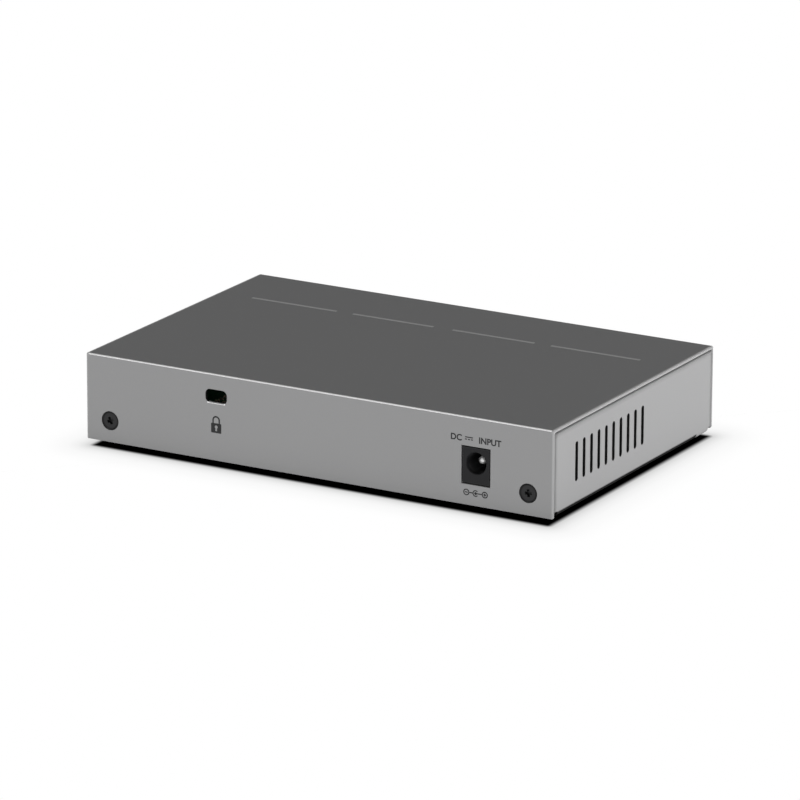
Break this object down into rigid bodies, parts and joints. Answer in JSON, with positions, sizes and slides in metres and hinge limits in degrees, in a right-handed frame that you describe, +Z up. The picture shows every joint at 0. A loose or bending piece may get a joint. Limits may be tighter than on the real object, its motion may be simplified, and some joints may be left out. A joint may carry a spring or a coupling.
{
  "type": "desktop ethernet switch",
  "caption": "Flat folded-steel network switch case with front plug sockets, a rear power jack and lock slot, side vent slots and rubber feet.",
  "frame": {"origin": "on the surface it stands on, under the middle of the case", "axes": "+X along the width, -Y towards the sockets, +Y towards the power jack, +Z up"},
  "size_m": [0.158, 0.101, 0.0286],
  "materials": {
    "case_paint": "satin grey metallic paint",
    "screw_black": "black oxide steel",
    "foot_rubber": "matt black rubber",
    "board": "green solder mask on glass fibre",
    "plated_steel": "plated sheet steel",
    "plated_screw": "zinc plated steel",
    "standoff_brass": "turned brass",
    "black_plastic": "matt black moulded plastic",
    "gold_contact": "gold plated spring contacts",
    "clear_plastic": "clear moulded plastic",
    "led_chip": "pale moulded LED",
    "green_led": "tinted clear resin",
    "amber_led": "tinted clear resin",
    "tinned_copper": "tinned copper",
    "chip_black": "matt moulded epoxy",
    "pad_grey": "soft silicone pad",
    "heatsink_metal": "extruded aluminium",
    "capacitor_sleeve": "shrink sleeve",
    "ferrite": "dark ferrite",
    "ceramic": "tan ceramic"
  },
  "bodies": {
    "root": {"top_cover": "case_paint", "base_tray": "case_paint", "cover_screw_left": "screw_black", "cover_screw_right": "screw_black", "foot_front_left": "foot_rubber", "foot_front_right": "foot_rubber", "foot_rear_left": "foot_rubber", "foot_rear_right": "foot_rubber", "circuit_board": "board", "board_standoffs": "standoff_brass", "board_screws": "plated_screw", "port_shield_left": "plated_steel", "port_shield_right": "plated_steel", "port_housing_left": "black_plastic", "port_housing_right": "black_plastic", "port_contacts_left": "gold_contact", "port_contacts_right": "gold_contact", "link_light_pipes_left": "clear_plastic", "link_light_pipes_right": "clear_plastic", "link_led_chips": "led_chip", "status_led_holder": "black_plastic", "power_led": "green_led", "poe_led": "amber_led", "dc_jack_body": "black_plastic", "dc_jack_pin": "tinned_copper", "dc_jack_blade": "tinned_copper", "dc_jack_spring": "tinned_copper", "magnetics_module_1": "chip_black", "magnetics_module_2": "chip_black", "magnetics_module_3": "chip_black", "magnetics_module_4": "chip_black", "magnetics_leads": "tinned_copper", "switch_chip": "chip_black", "thermal_pad": "pad_grey", "heatsink": "heatsink_metal", "poe_controller_chip": "chip_black", "flash_chip": "chip_black", "port_surge_diodes": "chip_black", "crystal": "tinned_copper", "bulk_capacitor_1": "capacitor_sleeve", "bulk_capacitor_2": "capacitor_sleeve", "bulk_capacitor_3": "capacitor_sleeve", "input_fuse": "ceramic", "input_choke": "ferrite", "rectifier_diode": "chip_black", "power_inductor_1": "ferrite", "power_inductor_2": "ferrite", "voltage_regulator": "chip_black", "chip_parts": "ceramic"}
  },
  "joints": []
}
